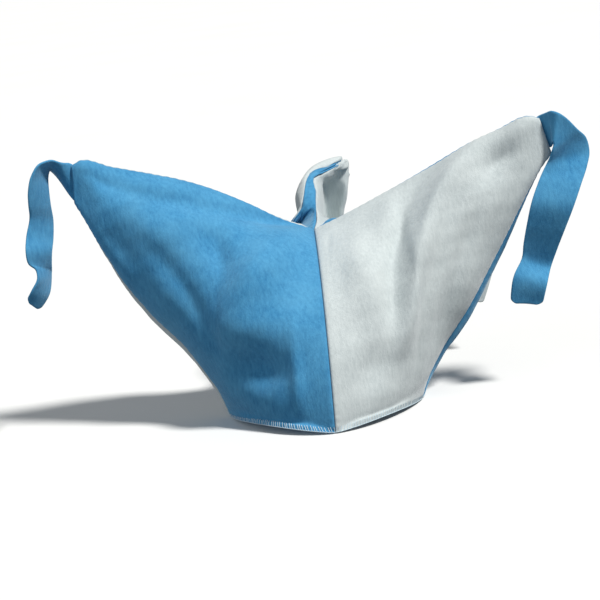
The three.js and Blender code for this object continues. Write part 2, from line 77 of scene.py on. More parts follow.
camera_data = bpy.data.cameras.new("photo_camera")
camera_data.sensor_width = 36.0
camera_data.lens = focal_pixels / picture_pixels * camera_data.sensor_width
camera_data.clip_end = 200.0
camera = bpy.data.objects.new("photo_camera", camera_data)
axes = Matrix((picture_right, picture_up, -forward)).transposed().to_4x4()
camera.matrix_world = Matrix.Translation(camera_place) @ axes
bpy.context.scene.collection.objects.link(camera)
bpy.context.scene.camera = camera
print("lens:", round(camera_data.lens, 1), "mm")

# %% [markdown]
# ## Light and floor
#
# Fleece has no gloss, so it shows its folds by light and shade alone. One sun stands high on
# the right, a little in front of the hat. A weak and very wide one fills the shadows from the
# left, and an even pale sky lifts everything. The floor throws no light back at the hat, so
# the hollows of the cloth stay as dark as they are in the photograph.

# %% Light and floor
def add_sun(name, towards, strength, disc_degrees, colour=(1.0, 1.0, 1.0)):
    data = bpy.data.lights.new(name, "SUN")
    data.energy = strength
    data.angle = math.radians(disc_degrees)
    data.color = colour
    sun = bpy.data.objects.new(name, data)
    sun.rotation_mode = "QUATERNION"
    sun.rotation_quaternion = Vector(towards).to_track_quat("-Z", "Y")
    bpy.context.scene.collection.objects.link(sun)
    return sun


add_sun("main_light", (-0.52, 0.38, -0.9), 3.8, 9.0, (1.0, 0.985, 0.96))
add_sun("fill_light", (0.8, 0.7, -0.4), 0.42, 50.0, (0.9, 0.95, 1.0))

sky = bpy.data.worlds.new("soft_sky")
sky.use_nodes = True
sky.node_tree.nodes["Background"].inputs["Color"].default_value = (0.88, 0.94, 1.0, 1.0)
sky.node_tree.nodes["Background"].inputs["Strength"].default_value = 0.26
bpy.context.scene.world = sky
bpy.context.scene.view_settings.view_transform = "Standard"


def new_object(name, mesh):
    made = bpy.data.objects.new(name, mesh)
    bpy.context.scene.collection.objects.link(made)
    return made


flat = bmesh.new()
bmesh.ops.create_grid(flat, x_segments=1, y_segments=1, size=40.0)
floor_mesh = bpy.data.meshes.new("floor")
flat.to_mesh(floor_mesh)
flat.free()
floor = new_object("floor", floor_mesh)
floor.visible_diffuse = False

# %% [markdown]
# ## The hat's own sizes
#
# Everything is measured from the middle of the brim, at floor level. The brim is an oval
# that the front draws to a blunt point. The crown is where all six panels meet.

# %% Sizes
brim_half_width = 85 * MM
brim_half_depth = 102 * MM
side_reach = 197 * MM
back_reach = 154 * MM
tip_height = 232 * MM
crown = np.array([5.5, 10.0, 149.0]) * MM
front_point = 1.12
cloth_thickness = 2.0 * MM
tip_half_thickness = 3.4 * MM


def unit(vectors):
    return vectors / np.maximum(np.linalg.norm(vectors, axis=-1, keepdims=True), 1e-12)


def brim_point(degrees):
    """Points of the brim at angles from the front, turning towards +X."""
    angle = np.radians(np.atleast_1d(np.asarray(degrees, float)))
    aside, ahead = np.sin(angle), np.cos(angle)
    power = np.where(ahead > 0, front_point, 1.0)
    x = brim_half_width * np.sign(aside) * np.abs(aside) ** power
    y = -brim_half_depth * np.sign(ahead) * np.abs(ahead) ** power
    return np.stack([x, y, np.zeros_like(x)], axis=-1)


print("brim:", 2 * brim_half_width, "x", 2 * brim_half_depth, "m")

# %% [markdown]
# ## Smooth lines through a few points
#
# A seam is a line in space. A few of its points are known, and the rest lie on a smooth
# curve through them. The same small function also blends every other number that changes
# along a horn, such as how far its cloth bulges.

# %% Smooth lines
def smooth(keys, values, x):
    """Smooth curve through rows of values, read at x of their keys."""
    keys = np.asarray(keys, float)
    values = np.asarray(values, float)
    steps = np.diff(keys)[:, None]
    slopes = np.diff(values, axis=0) / steps
    before, after = steps[:-1], steps[1:]
    between = (slopes[:-1] * after + slopes[1:] * before) / (before + after)
    tangents = np.vstack([slopes[:1], between, slopes[-1:]])
    x = np.atleast_1d(np.asarray(x, float))
    k = np.clip(np.searchsorted(keys, x, side="left") - 1, 0, len(keys) - 2)
    t = ((x - keys[k]) / (keys[k + 1] - keys[k]))[:, None]
    rise = values[k + 1] - values[k]
    bend = tangents[k] * t * (1 - t) ** 2 - tangents[k + 1] * t * t * (1 - t)
    return values[k] + rise * t * t * (3 - 2 * t) + bend * steps[k]


def share_of_length(points):
    """How far along a line each of its points is, from 0 to 1."""
    lengths = np.linalg.norm(np.diff(points, axis=0), axis=1)
    travelled = np.concatenate([[0.0], np.cumsum(lengths)])
    return travelled / travelled[-1]


def seam_line(start, rows, reach=side_reach, depth=brim_half_depth):
    """A seam from its start through rows of (aside, back, height) shares."""
    points = np.vstack([start, np.array(rows) * [reach, depth, tip_height]])
    shares = share_of_length(points)
    return lambda share: smooth(shares, points, share)


# %% [markdown]
# ## The seams
#
# Three seams run from the brim up to the crown, in the valleys between the horns. Each horn
# has a ridge seam, from the crown to its end, and a seam below, from the brim to its end.
# The two side horns stand out and up, and the back horn rises, turns over and hangs.

# %% Seams
valleys = {"front": 3.0, "right_back": 128.0, "left_back": 235.0}

horns = {
    "left": {
        "brim": 280.0,
        "ridge": seam_line(crown, [
            (-0.071, 0.056, 0.679),
            (-0.232, 0.014, 0.768),
            (-0.432, -0.028, 0.86),
            (-0.635, -0.069, 0.922),
            (-0.796, -0.112, 0.966),
            (-0.92, -0.185, 1.001),
            (-0.95, -0.196, 0.989),
        ]),
        "under": seam_line(brim_point(280), [
            (-0.467, -0.16, 0.125),
            (-0.592, -0.15, 0.295),
            (-0.727, -0.15, 0.44),
            (-0.843, -0.165, 0.617),
            (-0.929, -0.18, 0.79),
            (-0.959, -0.196, 0.846),
        ]),
        "shares": [(0, 0), (0.5, 0.21), (1, 0.43), (1.5, 0.74), (2, 1)],
        "under_shares": [(1, 0), (2, 1)],
    },
    "right": {
        "brim": 72.0,
        "ridge": seam_line(crown, [
            (0.166, 0.056, 0.689),
            (0.413, 0.014, 0.779),
            (0.589, -0.029, 0.848),
            (0.72, -0.069, 0.903),
            (0.85, -0.112, 0.943),
            (0.975, -0.185, 0.978),
            (1.008, -0.196, 0.97),
        ]),
        "under": seam_line(brim_point(72), [
            (0.466, -0.22, 0.12),
            (0.585, -0.2, 0.244),
            (0.762, -0.185, 0.464),
            (0.909, -0.185, 0.666),
            (1.007, -0.19, 0.793),
            (1.05, -0.196, 0.832),
        ]),
        "shares": [(0, 0), (0.5, 0.18), (1, 0.37), (1.5, 0.72), (2, 1)],
        "under_shares": [(1, 0), (2, 1)],
    },
    "back": {
        "brim": 183.0,
        "ridge": seam_line(crown, [
            (0.043, 0.175, 0.662),
            (0.046, 0.26, 0.679),
            (0.054, 0.338, 0.718),
            (0.061, 0.403, 0.748),
            (0.057, 0.468, 0.777),
            (0.063, 0.513, 0.787),
            (0.086, 0.552, 0.788),
            (0.122, 0.594, 0.795),
            (0.155, 0.63, 0.804),
            (0.184, 0.672, 0.813),
            (0.197, 0.718, 0.816),
            (0.207, 0.776, 0.803),
            (0.205, 0.838, 0.767),
            (0.175, 0.903, 0.711),
            (0.132, 0.955, 0.655),
            (0.114, 0.994, 0.599),
            (0.147, 1.026, 0.539),
            (0.264, 1.039, 0.496),
            (0.426, 1.026, 0.517),
            (0.589, 0.974, 0.56),
        ], side_reach, back_reach),
        "under": seam_line(brim_point(183), [
            (-0.02, 0.688, 0.194),
            (-0.02, 0.656, 0.388),
            (-0.051, 0.532, 0.526),
            (-0.069, 0.305, 0.642),
            (-0.03, 0.318, 0.676),
            (-0.006, 0.344, 0.72),
            (0.012, 0.409, 0.762),
            (0.019, 0.461, 0.783),
            (0.033, 0.513, 0.795),
            (0.062, 0.571, 0.8),
            (0.102, 0.636, 0.803),
            (0.157, 0.685, 0.811),
            (0.188, 0.732, 0.813),
            (0.196, 0.786, 0.803),
            (0.165, 0.873, 0.772),
            (0.117, 0.942, 0.724),
            (0.066, 1.0, 0.659),
            (0.063, 1.039, 0.552),
            (0.193, 1.052, 0.435),
            (0.376, 1.026, 0.399),
            (0.558, 1.0, 0.399),
        ], side_reach, back_reach),
        "shares": [
            (0, 0), (0.5, 0.06), (1, 0.11), (1.2, 0.135), (1.3, 0.16), (1.38, 0.199),
            (1.45, 0.26), (1.52, 0.318), (1.6, 0.396), (1.7, 0.478),
            (1.8, 0.587), (1.9, 0.778), (2, 1),
        ],
        "under_shares": [
            (1, 0), (1.1, 0.15), (1.2, 0.283), (1.3, 0.387), (1.38, 0.428), (1.45, 0.481),
            (1.52, 0.531), (1.6, 0.578), (1.7, 0.632), (1.8, 0.712),
            (1.9, 0.845), (2, 1),
        ],
    },
}
print("seams:", len(valleys), "in the valleys,", 2 * len(horns), "on the horns")

# %% [markdown]
# ## The six panels
#
# A panel is read like a map. The first number, at, runs from 0 on the valley seam, over the
# front or back of the hat, to 1 where the horn leaves the brim, and to 2 at the horn's end.
# The second, v, runs from 0 at the brim or the lower seam to 1 on the ridge. Each row of
# sections is a cross-section: how far it bulges, which way, how full its curve is, and how
# far it hangs below its lower seam.
#
# The back horn turns over, which no bulge can say. Its two panels have guides instead, from
# at = 1 on: rows of points in millimetres that the cloth passes through between its seams.
#
# The folds and dents are a table too: where each one lies on the map, how long and wide it
# is, how it is turned, and how high it stands in millimetres. A dent is a fold below zero.

# %% Panels
# each row of valley_rows and sections: at, bulge as a share of the brim's half depth, its
# direction in degrees from the front, its lift in degrees, fullness, edge and sag
# each row of folds: at, v, length, width, turn in degrees, height in millimetres
valley_rows = {
    "front": (0, 0.34, 2, 37, 2.0, 0.9, 0),
    "right_back": (0, 0.3, 128, 42, 2.0, 0.9, 0),
    "left_back": (0, 0.3, 235, 42, 2.0, 0.9, 0),
}
tip_bulge = tip_half_thickness / brim_half_depth

panels = {
    "left_front": {
        "cloth": "blue",
        "valley": "front",
        "horn": "left",
        "sections": [
            (0.5, 0.4, -8, 30, 2.0, 0.85, 0),
            (1, 0.44, -8, 4, 2.0, 0.75, 0),
            (1.35, 0.33, -4, 0, 2.1, 0.65, 0),
            (1.7, 0.17, 0, 0, 2.5, 0.55, 0),
            (2, tip_bulge, 0, 0, 7, 0.5, 0),
        ],
        "folds": [
            (0.9, 0.83, 0.65, 0.05, -7, -7.0),
            (0.42, 0.88, 0.25, 0.06, -8, -5.0),
            (0.55, 0.61, 0.45, 0.1, -22, 12.0),
            (0.95, 0.66, 0.16, 0.07, 10, -6.0),
            (0.55, 0.45, 0.35, 0.05, -3, 5.0),
            (0.58, 0.32, 0.22, 0.06, -3, -13.0),
            (0.26, 0.3, 0.06, 0.12, 0, 4.0),
            (1.2, 0.45, 0.25, 0.07, 15, -4.0),
            (1.4, 0.62, 0.22, 0.08, -10, 3.0),
            (1.6, 0.4, 0.18, 0.09, -30, -3.0),
            (1.78, 0.75, 0.15, 0.1, -20, -2.5),
        ],
    },
    "left_back": {
        "cloth": "white",
        "valley": "left_back",
        "horn": "left",
        "sections": [
            (0.5, 0.42, 222, 24, 2.0, 0.85, 0),
            (1, 0.5, 195, 4, 2.0, 0.7, 0.06),
            (1.35, 0.36, 184, 0, 2.1, 0.6, 0.17),
            (1.7, 0.17, 180, 0, 2.5, 0.55, 0.11),
            (2, tip_bulge, 180, 0, 7, 0.5, 0),
        ],
        "folds": [
            (1.05, 0.55, 0.35, 0.12, 30, 3.5),
            (0.6, 0.4, 0.25, 0.1, -20, -3.5),
            (0.09, 0.92, 0.06, 0.05, 0, 7.0),
        ],
    },
    "right_front": {
        "cloth": "white",
        "valley": "front",
        "horn": "right",
        "sections": [
            (0.5, 0.4, 10, 30, 2.0, 0.85, 0),
            (1, 0.42, 12, 4, 2.0, 0.75, 0),
            (1.35, 0.33, 4, 0, 2.1, 0.65, 0),
            (1.7, 0.17, 0, 0, 2.5, 0.55, 0),
            (2, tip_bulge, 0, 0, 7, 0.5, 0),
        ],
        "folds": [
            (1.04, 0.6, 0.44, 0.07, 33, 11.5),
            (0.9, 0.72, 0.36, 0.065, 33, -8.5),
            (0.68, 0.47, 0.12, 0.06, 33, -6.0),
            (1.28, 0.4, 0.32, 0.09, 38, -4.5),
            (1.64, 0.67, 0.17, 0.09, -20, -6.0),
            (0.42, 0.62, 0.18, 0.11, 0, 4.5),
            (0.45, 0.31, 0.3, 0.08, 0, -6.0),
            (0.92, 0.28, 0.15, 0.07, 40, -3.0),
            (0.13, 0.76, 0.05, 0.03, 60, -1.5),
        ],
    },
    "right_back": {
        "cloth": "blue",
        "valley": "right_back",
        "horn": "right",
        "sections": [
            (0.5, 0.44, 140, 24, 2.0, 0.85, 0),
            (1, 0.54, 165, 4, 2.0, 0.7, 0.06),
            (1.35, 0.37, 176, 0, 2.1, 0.6, 0.22),
            (1.7, 0.17, 180, 0, 2.5, 0.55, 0.15),
            (2, tip_bulge, 180, 0, 7, 0.5, 0),
        ],
        "folds": [
            (1.1, 0.5, 0.35, 0.12, 25, -4.0),
            (0.7, 0.62, 0.3, 0.1, 0, 3.0),
            (0.14, 0.9, 0.1, 0.06, 0, 15.0),
        ],
    },
    "back_right": {
        "cloth": "white",
        "valley": "right_back",
        "horn": "back",
        "sections": [
            (0.5, 0.36, 140, 30, 2.0, 0.85, 0),
            (1, 0.42, 124, 6, 2.0, 0.75, 0),
            (2, 0.42, 124, 6, 2.0, 0.75, 0),
        ],
        "guides_at_v": (0.12, 0.3, 0.5, 0.66, 0.74, 0.84, 0.94),
        "guides": [
            (1.1, (2, 107.5, 74), (15, 115, 84), (31, 115, 104), (36, 93, 125),
             (30.6, 89.4, 131.4), (22.5, 84, 141), (13, 47.5, 157)),
            (1.2, (-11, 94, 122), (1, 116, 119), (22, 130, 117), (32.5, 117, 122.2),
             (27.5, 112.5, 123.8), (19, 121, 126), (14, 54, 152)),
            (1.3, (-6.3, 63, 157.8), (-5, 106, 147), (20, 129, 136), (35, 116, 141.7),
             (30, 111.5, 143.4), (19.5, 121, 146), (14.6, 60, 160)),
            (1.38, (-5.5, 68, 171.6), (-3, 106, 163), (22, 127, 152), (39.5, 114, 154.7),
             (34.5, 109.5, 156.6), (20.5, 118, 160), (16, 71, 169.5)),
            (1.45, (4, 86, 185), (2.5, 112, 175), (24, 126, 162), (41.8, 112.5, 163.7),
             (36.8, 108, 165.9), (23, 115, 170), (17, 88, 177)),
            (1.52, (17.9, 105, 191.3), (13.5, 119, 182.5), (27, 125, 169), (43.2, 112.5, 170.7),
             (38.2, 108, 172.9), (33, 111, 177), (28, 99, 180.5)),
            (1.6, (38.2, 118.5, 193.3), (31, 126.5, 187), (33, 127, 172), (44, 115.5, 178),
             (43.9, 112.3, 182), (43.6, 112, 186), (41.8, 113, 190.8)),
            (1.7, (30, 137, 180.5), (24, 137, 168), (27, 131, 159), (36, 127.5, 163),
             (37.8, 127.7, 165.2), (40.5, 128, 168.5), (42, 130.5, 175)),
            (1.8, (10.8, 149, 147.5), (11.5, 142, 143), (15.5, 137, 141), (20, 136, 143),
             (21.8, 136.8, 144.2), (24.5, 138, 146), (27, 143, 151)),
            (1.9, (37, 158, 100), (38.5, 152, 100), (42.5, 149, 102), (47, 148, 106),
             (48.4, 149.2, 107.6), (50.5, 151, 110), (52, 156, 113.5)),
            (2, (110.3, 149, 95.5), (111.2, 147.8, 101), (112.8, 147, 110), (114, 146.7, 117.5),
             (114.3, 146.6, 119.5), (114.8, 146.5, 122.5), (115.5, 147, 127)),
        ],
        "folds": [
            (0.7, 0.38, 0.25, 0.12, 10, -3.5),
        ],
    },
    "back_left": {
        "cloth": "blue",
        "valley": "left_back",
        "horn": "back",
        "sections": [
            (0.5, 0.34, 222, 30, 2.0, 0.85, 0),
            (1, 0.3, 236, 8, 2.0, 0.75, 0),
            (2, 0.3, 236, 8, 2.0, 0.75, 0),
        ],
        "guides_at_v": (0.25, 0.5, 0.75),
        "guides": [
            (1.1, (-17, 98, 85), (-20, 81, 120), (-6, 57, 150)),
            (1.2, (-11, 62, 137), (-6, 51, 149), (2, 46.5, 157)),
            (1.3, (-2, 47.5, 160), (2.5, 47.5, 163), (6.5, 49.5, 165.5)),
            (1.38, (3.2, 57, 172.7), (6.2, 57, 173.3), (9, 59, 173.8)),
            (1.45, (8, 77.8, 184.2), (9.5, 77.2, 183.7), (11, 77.8, 183.1)),
            (1.52, (21, 96, 186.3), (22.2, 94, 185.8), (23.2, 92.5, 185.1)),
            (1.6, (37, 112, 189), (37.5, 111.3, 189.1), (38, 110.7, 189.1)),
            (1.7, (34.5, 136.5, 180.5), (37, 135, 180.5), (39.5, 132.5, 179.3)),
            (1.8, (15, 157, 154.5), (19, 156.5, 156), (24, 152, 156)),
            (1.9, (41, 166, 105), (45, 167, 110), (49.5, 165, 114)),
            (2, (111.5, 157.5, 100), (113, 157.3, 111), (115, 155.5, 122)),
        ],
        "folds": [
            (0.7, 0.4, 0.3, 0.12, -10, 3.0),
        ],
    },
}
print("panels:", ", ".join(panels))

# %% [markdown]
# ## Plain surfaces between the seams
#
# A coarse net of points comes straight from the tables. It is evened out lengthwise, as
# cloth does by itself, while its seams stay where they are. A finer net then follows the
# coarse one smoothly. Its lines crowd together near the seams, where the cloth bends most.

# %% Plain surfaces
brim_steps = 8
row_steps = 14
horn_steps = {"left": 14, "right": 14, "back": 32}
fine_per_step = {"left": 6, "right": 6, "back": 4}


def coarse_stations(horn):
    brim = np.arange(brim_steps) / brim_steps
    return np.concatenate([brim, 1 + np.arange(horn_steps[horn] + 1) / horn_steps[horn]])


def lower_edge(panel, at):
    """The brim up to at = 1, and the horn's lower seam after that."""
    horn = horns[panel["horn"]]
    start = valleys[panel["valley"]]
    turn = (horn["brim"] - start + 540) % 360 - 180
    on_brim = brim_point(start + turn * np.minimum(at, 1))
    shares = np.array(horn["under_shares"], float)
    on_seam = horn["under"](smooth(shares[:, 0], shares[:, 1:], np.maximum(at, 1))[:, 0])
    return np.where((at > 1)[:, None], on_seam, on_brim)


def upper_edge(panel, at):
    """The horn's ridge seam, which starts at the crown."""
    horn = horns[panel["horn"]]
    shares = np.array(horn["shares"], float)
    return horn["ridge"](smooth(shares[:, 0], shares[:, 1:], at)[:, 0])


def coarse_net(panel):
    """Points of a panel straight from its tables, column by column from the valley seam."""
    at = coarse_stations(panel["horn"])
    v = np.arange(row_steps + 1) / row_steps
    low, high = lower_edge(panel, at), upper_edge(panel, at)
    rows = np.array([valley_rows[panel["valley"]], *panel["sections"]], float)
    bulge, turn, lift, full, edge, sag = smooth(rows[:, 0], rows[:, 1:], at).T
    a, e = np.radians(turn), np.radians(lift)
    out = np.stack([np.sin(a) * np.cos(e), -np.cos(a) * np.cos(e), np.sin(e)], axis=-1)
    chord = unit(high - low)
    half = np.linalg.norm(high - low, axis=1) / 2
    out = unit(out - chord * np.sum(out * chord, axis=1, keepdims=True))
    s = -np.cos(np.pi * v)[None, :]
    swell = np.maximum(0, 1 - np.abs(s) ** full[:, None]) ** edge[:, None]
    hang = np.where(v < 0.5, np.abs(np.sin(2 * np.pi * v)), 0) * brim_half_depth
    along = s * half[:, None] - sag[:, None] * hang
    stand = swell * bulge[:, None] * brim_half_depth
    middle = ((low + high) / 2)[:, None, :]
    net = middle + chord[:, None, :] * along[..., None] + out[:, None, :] * stand[..., None]
    if "guides" in panel:
        net[brim_steps:] = guided_net(panel, net[brim_steps], at[brim_steps:], v)
    return net


def guided_net(panel, first, at, v):
    """The part of a panel on the horn, drawn through guide points between its two seams."""
    guide_v = panel["guides_at_v"]
    at_brim = smooth(v, first, guide_v)
    keys = [1.0] + [row[0] for row in panel["guides"]]
    lines = np.array([at_brim, *[np.array(row[1:]) * MM for row in panel["guides"]]])
    inner = smooth(keys, lines.reshape(len(keys), -1), at).reshape(len(at), -1, 3)
    low, high = lower_edge(panel, at), upper_edge(panel, at)
    low[0] = first[0]
    across = np.concatenate([low[:, None], inner, high[:, None]], axis=1)
    lengthwise = across.transpose(1, 0, 2).reshape(len(guide_v) + 2, -1)
    return smooth([0, *guide_v, 1], lengthwise, v).reshape(len(v), len(at), 3).transpose(1, 0, 2)


def evened_out(net, at, passes=10, share=0.5, end=1.3, fade=0.3):
    """The net with its columns pulled towards even steps, up to where the horn narrows."""
    strength = share * np.clip((end - at) / fade, 0, 1)[1:-1, None, None]
    for _ in range(passes):
        between = (net[:-2, 1:-1] + net[2:, 1:-1]) / 2
        net[1:-1, 1:-1] += (between - net[1:-1, 1:-1]) * strength
    return net


def fine_lines(horn):
    """Where the lines of the fine net lie, as at and as v."""
    near_seam = np.linspace(0, 0.05, 12)
    brim = np.linspace(0.05, 1, 48)[1:]
    along_horn = np.linspace(1, 2, 1 + fine_per_step[horn] * horn_steps[horn])[1:]
    edge = np.linspace(0, 1 / row_steps, 11)
    middle = np.linspace(1 / row_steps, 1 - 1 / row_steps, 70)[1:-1]
    return np.concatenate([near_seam, brim, along_horn]), np.concatenate([edge, middle, 1 - edge[::-1]])


def fine_net(net, stations, at, v):
    """The fine net: smooth along the panel and across it, with a true corner at the brim."""
    columns, rows = net.shape[:2]
    flat_net = net.reshape(columns, -1)
    whole = smooth(stations, flat_net, at).reshape(-1, rows, 3)
    brim = smooth(stations[: brim_steps + 1], flat_net[: brim_steps + 1], at[at <= 1])
    horn = smooth(stations[brim_steps:], flat_net[brim_steps:], at[at > 1])
    cornered = np.vstack([brim, horn]).reshape(-1, rows, 3)
    weight = np.clip(1 - np.arange(rows) / 3, 0, 1)[None, :, None]
    long_lines = whole + (cornered - whole) * weight
    across = long_lines.transpose(1, 0, 2).reshape(rows, -1)
    net_rows = np.arange(rows) / row_steps
    return smooth(net_rows, across, v).reshape(len(v), len(at), 3).transpose(1, 0, 2)


def normals_of(net, facing=1.0):
    return unit(np.cross(np.gradient(net, axis=0), np.gradient(net, axis=1))) * facing


for panel in panels.values():
    stations = coarse_stations(panel["horn"])
    panel["at"], panel["v"] = fine_lines(panel["horn"])
    coarse = evened_out(coarse_net(panel), stations)
    panel["net"] = fine_net(coarse, stations, panel["at"], panel["v"])
    column, row = int(np.argmin(abs(panel["at"] - 0.25))), len(panel["v"]) // 2
    outward = panel["net"][column, row] * [1, 1, 0]
    panel["facing"] = np.sign(normals_of(panel["net"])[column, row] @ outward)
print("fine net:", panels["left_front"]["net"].shape[:2], "points")

# %% [markdown]
# ## Folds, dents and the lifted brim
#
# The folds push the surface out or in along its own normals. They fade to nothing at the
# seams, so both panels of a seam still meet. Long shallow waves with unlike lengths keep
# the cloth from looking ironed. Between its seams the brim stands a few millimetres clear
# of the floor, because the stitched edge is stiffer at the seams. There the lowest few
# centimetres of the cloth hang straight down.

# %% Folds
# period in millimetres, direction (x, y, z), height in millimetres, phase
ripples = [
    (61, (0.8, 0.3, 0.5), 0.55, 0.4),
    (43, (-0.5, 0.4, 0.8), 0.45, 1.9),
    (29, (0.3, -0.8, -0.5), 0.28, 3.1),
    (19, (0.9, 0.2, -0.4), 0.16, 5.0),
    (13, (-0.2, 0.5, 0.9), 0.1, 2.2),
]
brim_lift = {"left_front": 5.0, "right_front": 3.6}
lift_elsewhere = 2.0
clear_of_floor = 1.1 * MM
straight_below = 0.15


def fold_height(folds, at, v):
    height = np.zeros((len(at), len(v)))
    for fold_at, fold_v, length, width, turn, rise in folds:
        a, b = (at - fold_at)[:, None], (v - fold_v)[None, :]
        c, s = math.cos(math.radians(turn)), math.sin(math.radians(turn))
        along, across = (a * c + b * s) / length, (b * c - a * s) / width
        height += rise * MM * np.exp(-along**2 - across**2)
    return height


def ripple_height(points):
    height = np.zeros(points.shape[:2])
    for period, way, rise, phase in ripples:
        wave = points @ unit(np.array(way, float)) / (period * MM)
        height += rise * MM * np.sin(2 * np.pi * wave + phase)
    return height


def hung_straight(net, at, v):
    """The cloth's lowest part, between the seams, hangs straight down to the brim."""
    knee = int(np.argmin(abs(v - straight_below)))
    share = np.clip(v / v[knee], 0, 1)[None, :, None]
    line = net[:, :1] * (1 - share) + net[:, knee : knee + 1] * share
    between_seams = np.clip(5 * at, 0, 1) * np.clip(5 * (1 - at), 0, 1)
    return net + (line - net) * between_seams[:, None, None] * np.clip(1.6 * (1 - share), 0, 1)


for name, panel in panels.items():
    net, at, v = panel["net"], panel["at"], panel["v"]
    normals = normals_of(net, panel["facing"])
    away_from_seams = np.clip(4 * at, 0, 1) * np.clip(4 * (2 - at), 0, 1)
    fade = away_from_seams[:, None] * np.sqrt(np.sin(np.pi * v))[None, :]
    height = fold_height(panel["folds"], at, v) + ripple_height(net)
    net = net + normals * (height * fade)[..., None]
    lift = brim_lift.get(name, lift_elsewhere) * MM * np.sin(np.pi * np.clip(at, 0, 1)) ** 1.3
    net[..., 2] += (lift[:, None] + clear_of_floor) * np.clip(1 - v / 0.3, 0, 1)[None, :] ** 2
    panel["net"] = hung_straight(net, at, v)
print("brim stands clear by up to", max(brim_lift.values()), "mm")

# %% [markdown]
# ## Seams
#
# At a seam the two edges of cloth are turned inside and stitched together. From outside
# that makes a groove with a low lip on either side: each panel rolls over and dives into the
# seam. Inside stands the seam allowance, two layers high. The groove is deep where the panels
# lie flat beside each other and shallow along a sharp ridge. The thread pulls the cloth
# together, which makes small puckers along the seam.

# %% Seams drawn in
roll_radius = 2.1 * MM
allowance_depths = np.array([1.4, 2.9, 4.4]) * MM
seam_play = 0.08 * MM
pucker_period = 7.0 * MM
pucker_height = 0.22 * MM
pucker_distance = 2.5 * MM
pucker_width = 2.6 * MM
lip_share = 0.5
lip_start = 1.6
lip_end = 2.4


def pair_of(key, name):
    return [panel for panel in panels.values() if panel[key] == name]


def make_seam(lines, normals):
    """A seam: its points, the way into the hat, and the depth of its groove."""
    both = normals[0] + normals[1]
    flatness = np.linalg.norm(both, axis=1) / 2
    inward = unit(-both)
    for _ in range(6):
        inward[1:-1] = unit(inward[:-2] + 2 * inward[1:-1] + inward[2:])
    groove = roll_radius * (0.3 + 0.7 * flatness)
    pucker = pucker_height * flatness**2
    return {"points": lines, "inward": inward, "groove": groove, "pucker": pucker}


def seam_places(panel):
    """Each seam's kind and name, and where the net meets it."""
    foot = int(np.argmin(abs(panel["at"] - 1)))
    return {
        ("valley", panel["valley"]): (0, slice(None)),
        ("ridge", panel["horn"]): (slice(None), -1),
        ("under", panel["horn"]): (slice(foot, None), 0),
    }


seams = {}
crown_inward = np.zeros(3)
for panel in panels.values():
    panel["normals"] = normals_of(panel["net"], panel["facing"])
    crown_inward -= panel["normals"][0, -1]
crown_inward = unit(crown_inward)
for panel in panels.values():
    for key, place in seam_places(panel).items():
        shared = pair_of("valley" if key[0] == "valley" else "horn", key[1])
        partner = next(other for other in shared if other is not panel)
        normals = [panel["normals"][place], partner["normals"][place]]
        seam = make_seam(panel["net"][place], normals)
        if key[0] == "valley":
            seam["inward"][-1] = crown_inward
            seam["inward"][0, 2] = 0
        elif key[0] == "ridge":
            seam["inward"][0] = crown_inward
        else:
            seam["inward"][0, 2] = 0
        seam["inward"] = unit(seam["inward"])
        seams[key] = seam


def nearest_on(seam, points):
    """For each point: its distance to the seam, and the seam's place beside it."""
    start, end = seam["points"][:-1], seam["points"][1:]
    step = end - start
    squares = np.maximum(np.sum(step * step, axis=1), 1e-14)
    reach = points[:, None, :] - start[None]
    t = np.clip(np.sum(reach * step, axis=2) / squares, 0, 1)
    gap = np.linalg.norm(reach - t[..., None] * step, axis=2)
    k = np.argmin(gap, axis=1)
    picked = np.arange(len(points))
    return gap[picked, k], k, t[picked, k][:, None]


def at_seam(values, k, t):
    return values[k] * (1 - t) + values[k + 1] * t


def drawn_in(panel):
    """The panel's net, rolled into its seams."""
    net = panel["net"]
    points = net.reshape(-1, 3)
    nearest = np.full(len(points), 1.0)
    shift = np.zeros_like(points)
    for key in seam_places(panel):
        seam = seams[key]
        gap, k, t = nearest_on(seam, points)
        travelled = share_of_length(seam["points"]) * np.sum(
            np.linalg.norm(np.diff(seam["points"], axis=0), axis=1)
        )
        along = travelled[k] * (1 - t[:, 0]) + travelled[k + 1] * t[:, 0]
        radius = at_seam(seam["groove"][:, None], k, t)[:, 0]
        inside = np.clip(radius - gap, 0, None)
        depth = radius - np.sqrt(np.maximum(radius**2 - inside**2, 0))
        near = np.exp(-((gap / (lip_start * radius)) ** 2))
        beside = np.exp(-((gap / (lip_end * radius)) ** 2))
        depth += lip_share * radius * near - lip_share * radius * beside
        pucker = np.sin(2 * np.pi * along / pucker_period + 2 * np.sin(along / (31 * MM)))
        reach = np.exp(-(((gap - pucker_distance) / pucker_width) ** 2))
        depth += at_seam(seam["pucker"][:, None], k, t)[:, 0] * pucker * reach
        closer = gap < nearest
        nearest = np.where(closer, gap, nearest)
        moved = at_seam(seam["inward"], k, t) * depth[:, None]
        shift = np.where(closer[:, None], moved, shift)
    panel["seam_gap"] = nearest.reshape(net.shape[:2])
    return net + shift.reshape(net.shape)


for panel in panels.values():
    panel["outside"] = drawn_in(panel)
print("seams drawn in:", len(seams))

# %% [markdown]
# ## From net to cloth
#
# Each panel starts as a flat grid, as the cloth did on the cutting table. Every vertex of
# the grid is then carried to its place on the hat. A few more lines of the grid, past the
# seams, become the seam allowance. The Solidify modifier gives the wall its thickness.

# %% Panels as meshes
allowance = len(allowance_depths)


